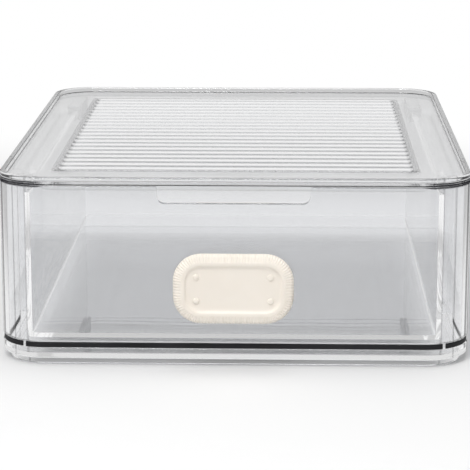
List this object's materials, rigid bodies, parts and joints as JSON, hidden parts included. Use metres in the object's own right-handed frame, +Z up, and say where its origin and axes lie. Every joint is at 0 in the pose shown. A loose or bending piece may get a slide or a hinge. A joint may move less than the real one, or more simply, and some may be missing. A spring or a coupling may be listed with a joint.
{
  "type": "stackable drawer box",
  "caption": "Clear stackable box with a pull-out tray drawer, a reeded top with a raised rim, a finger notch, a knurled pull and a dark seal strip along the sill.",
  "frame": {"origin": "centre of the underside, on the surface that the box stands on", "axes": "+X to the right seen from the front, -Y out of the drawer front, +Z up"},
  "size_m": [0.25, 0.314, 0.102],
  "materials": {
    "clear_plastic": "clear, polished",
    "dark_seal": "soft satin",
    "white_plastic": "warm white, fine matte"
  },
  "bodies": {
    "case": {"case_shell": "clear_plastic", "case_top": "clear_plastic", "seal_front": "dark_seal", "seal_left": "dark_seal", "seal_right": "dark_seal"},
    "drawer": {"drawer_tray": "clear_plastic", "stop_left": "clear_plastic", "stop_right": "clear_plastic", "pull_plate": "white_plastic", "pull_core": "white_plastic", "pull_studs": "white_plastic", "stud_caps": "clear_plastic"}
  },
  "joints": [
    {"name": "drawer_slide", "type": "slide", "parent": "case", "child": "drawer", "axis": [0, -1, 0], "range_m": [0, 0.217]}
  ]
}
